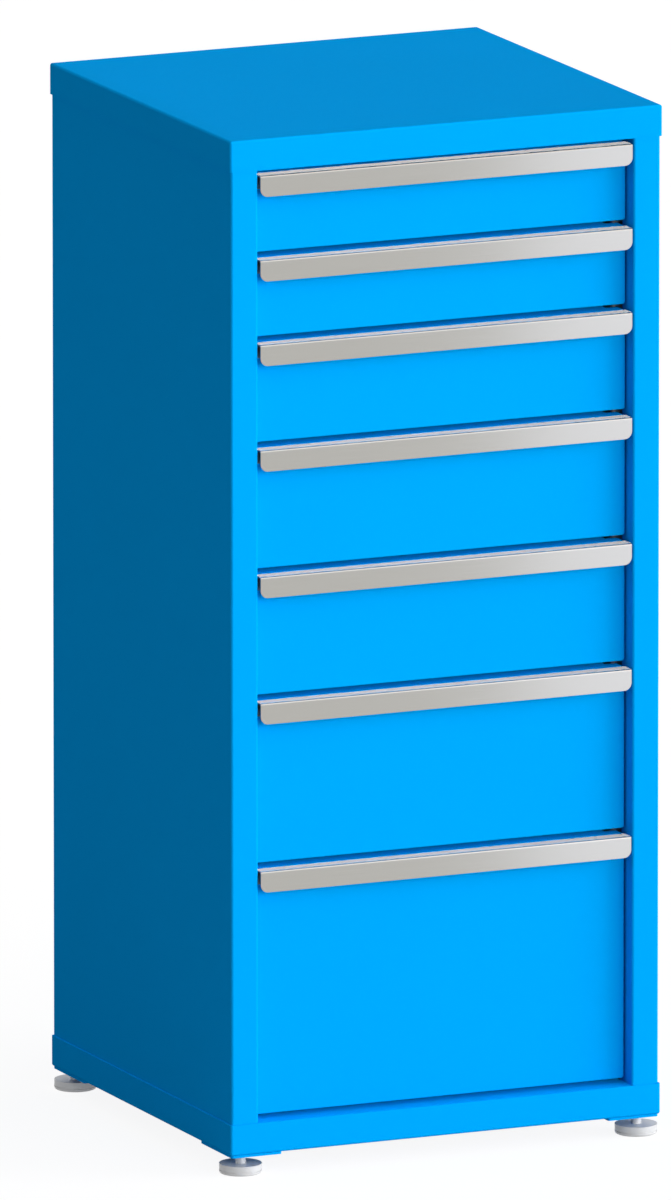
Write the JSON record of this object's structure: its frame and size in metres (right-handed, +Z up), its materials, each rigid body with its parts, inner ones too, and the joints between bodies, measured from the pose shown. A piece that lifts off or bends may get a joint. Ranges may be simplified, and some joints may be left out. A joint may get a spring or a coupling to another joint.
{
  "type": "drawer cabinet",
  "caption": "Tall free-standing steel cabinet with drawers on telescopic slides, full-width bent metal handles and levelling feet.",
  "frame": {"origin": "on the floor, under the middle of the case", "axes": "+Z up, drawer fronts towards -Y, +X to the right seen from the front"},
  "size_m": [0.5656, 0.5402, 1.2494],
  "materials": {
    "case_paint": "satin powder coat",
    "box_paint": "satin powder coat",
    "handle_metal": "brushed",
    "slide_steel": "bright zinc plated",
    "cage_steel": "plain steel",
    "zinc_steel": "zinc plated"
  },
  "bodies": {
    "cabinet": {"left_side_panel": "case_paint", "right_side_panel": "case_paint", "back_panel": "case_paint", "top_cap": "case_paint", "base_pan": "case_paint", "front_rails": "case_paint", "slotted_uprights": "zinc_steel", "cabinet_slides": "slide_steel", "foot_plates": "case_paint", "weld_nuts": "zinc_steel"},
    "drawer_1": {"drawer_1_front": "case_paint", "drawer_1_handle": "handle_metal", "drawer_1_box": "box_paint", "drawer_1_drawer_slides": "slide_steel"},
    "drawer_1_runners": {"drawer_1_middle_slides": "slide_steel", "drawer_1_ball_cages": "cage_steel"},
    "drawer_2": {"drawer_2_front": "case_paint", "drawer_2_handle": "handle_metal", "drawer_2_box": "box_paint", "drawer_2_drawer_slides": "slide_steel"},
    "drawer_2_runners": {"drawer_2_middle_slides": "slide_steel", "drawer_2_ball_cages": "cage_steel"},
    "drawer_3": {"drawer_3_front": "case_paint", "drawer_3_handle": "handle_metal", "drawer_3_box": "box_paint", "drawer_3_drawer_slides": "slide_steel"},
    "drawer_3_runners": {"drawer_3_middle_slides": "slide_steel", "drawer_3_ball_cages": "cage_steel"},
    "drawer_4": {"drawer_4_front": "case_paint", "drawer_4_handle": "handle_metal", "drawer_4_box": "box_paint", "drawer_4_drawer_slides": "slide_steel"},
    "drawer_4_runners": {"drawer_4_middle_slides": "slide_steel", "drawer_4_ball_cages": "cage_steel"},
    "drawer_5": {"drawer_5_front": "case_paint", "drawer_5_handle": "handle_metal", "drawer_5_box": "box_paint", "drawer_5_drawer_slides": "slide_steel"},
    "drawer_5_runners": {"drawer_5_middle_slides": "slide_steel", "drawer_5_ball_cages": "cage_steel"},
    "drawer_6": {"drawer_6_front": "case_paint", "drawer_6_handle": "handle_metal", "drawer_6_box": "box_paint", "drawer_6_drawer_slides": "slide_steel"},
    "drawer_6_runners": {"drawer_6_middle_slides": "slide_steel", "drawer_6_ball_cages": "cage_steel"},
    "drawer_7": {"drawer_7_front": "case_paint", "drawer_7_handle": "handle_metal", "drawer_7_box": "box_paint", "drawer_7_drawer_slides": "slide_steel"},
    "drawer_7_runners": {"drawer_7_middle_slides": "slide_steel", "drawer_7_ball_cages": "cage_steel"},
    "front_left_foot": {"front_left_stud": "zinc_steel", "front_left_pad": "zinc_steel"},
    "front_right_foot": {"front_right_stud": "zinc_steel", "front_right_pad": "zinc_steel"},
    "rear_left_foot": {"rear_left_stud": "zinc_steel", "rear_left_pad": "zinc_steel"},
    "rear_right_foot": {"rear_right_stud": "zinc_steel", "rear_right_pad": "zinc_steel"}
  },
  "joints": [
    {"name": "drawer_1_slide", "type": "slide", "parent": "cabinet", "child": "drawer_1", "axis": [0, -1, 0], "range_m": [0, 0.445]},
    {"name": "drawer_1_runner_slide", "type": "slide", "parent": "cabinet", "child": "drawer_1_runners", "axis": [0, -1, 0], "range_m": [0, 0.2225]},
    {"name": "drawer_2_slide", "type": "slide", "parent": "cabinet", "child": "drawer_2", "axis": [0, -1, 0], "range_m": [0, 0.445]},
    {"name": "drawer_2_runner_slide", "type": "slide", "parent": "cabinet", "child": "drawer_2_runners", "axis": [0, -1, 0], "range_m": [0, 0.2225]},
    {"name": "drawer_3_slide", "type": "slide", "parent": "cabinet", "child": "drawer_3", "axis": [0, -1, 0], "range_m": [0, 0.445]},
    {"name": "drawer_3_runner_slide", "type": "slide", "parent": "cabinet", "child": "drawer_3_runners", "axis": [0, -1, 0], "range_m": [0, 0.2225]},
    {"name": "drawer_4_slide", "type": "slide", "parent": "cabinet", "child": "drawer_4", "axis": [0, -1, 0], "range_m": [0, 0.445]},
    {"name": "drawer_4_runner_slide", "type": "slide", "parent": "cabinet", "child": "drawer_4_runners", "axis": [0, -1, 0], "range_m": [0, 0.2225]},
    {"name": "drawer_5_slide", "type": "slide", "parent": "cabinet", "child": "drawer_5", "axis": [0, -1, 0], "range_m": [0, 0.445]},
    {"name": "drawer_5_runner_slide", "type": "slide", "parent": "cabinet", "child": "drawer_5_runners", "axis": [0, -1, 0], "range_m": [0, 0.2225]},
    {"name": "drawer_6_slide", "type": "slide", "parent": "cabinet", "child": "drawer_6", "axis": [0, -1, 0], "range_m": [0, 0.445]},
    {"name": "drawer_6_runner_slide", "type": "slide", "parent": "cabinet", "child": "drawer_6_runners", "axis": [0, -1, 0], "range_m": [0, 0.2225]},
    {"name": "drawer_7_slide", "type": "slide", "parent": "cabinet", "child": "drawer_7", "axis": [0, -1, 0], "range_m": [0, 0.445]},
    {"name": "drawer_7_runner_slide", "type": "slide", "parent": "cabinet", "child": "drawer_7_runners", "axis": [0, -1, 0], "range_m": [0, 0.2225]},
    {"name": "front_left_foot_turn", "type": "hinge", "parent": "cabinet", "child": "front_left_foot", "pos_m": [-0.2574, -0.2447, 0], "axis": [0, 0, 1], "continuous": true},
    {"name": "front_right_foot_turn", "type": "hinge", "parent": "cabinet", "child": "front_right_foot", "pos_m": [0.2574, -0.2447, 0], "axis": [0, 0, 1], "continuous": true},
    {"name": "rear_left_foot_turn", "type": "hinge", "parent": "cabinet", "child": "rear_left_foot", "pos_m": [-0.2574, 0.2447, 0], "axis": [0, 0, 1], "continuous": true},
    {"name": "rear_right_foot_turn", "type": "hinge", "parent": "cabinet", "child": "rear_right_foot", "pos_m": [0.2574, 0.2447, 0], "axis": [0, 0, 1], "continuous": true}
  ],
  "couplings": [
    {"joint": "drawer_1_runner_slide", "follows": "drawer_1_slide", "ratio": 0.5},
    {"joint": "drawer_2_runner_slide", "follows": "drawer_2_slide", "ratio": 0.5},
    {"joint": "drawer_3_runner_slide", "follows": "drawer_3_slide", "ratio": 0.5},
    {"joint": "drawer_4_runner_slide", "follows": "drawer_4_slide", "ratio": 0.5},
    {"joint": "drawer_5_runner_slide", "follows": "drawer_5_slide", "ratio": 0.5},
    {"joint": "drawer_6_runner_slide", "follows": "drawer_6_slide", "ratio": 0.5},
    {"joint": "drawer_7_runner_slide", "follows": "drawer_7_slide", "ratio": 0.5}
  ]
}
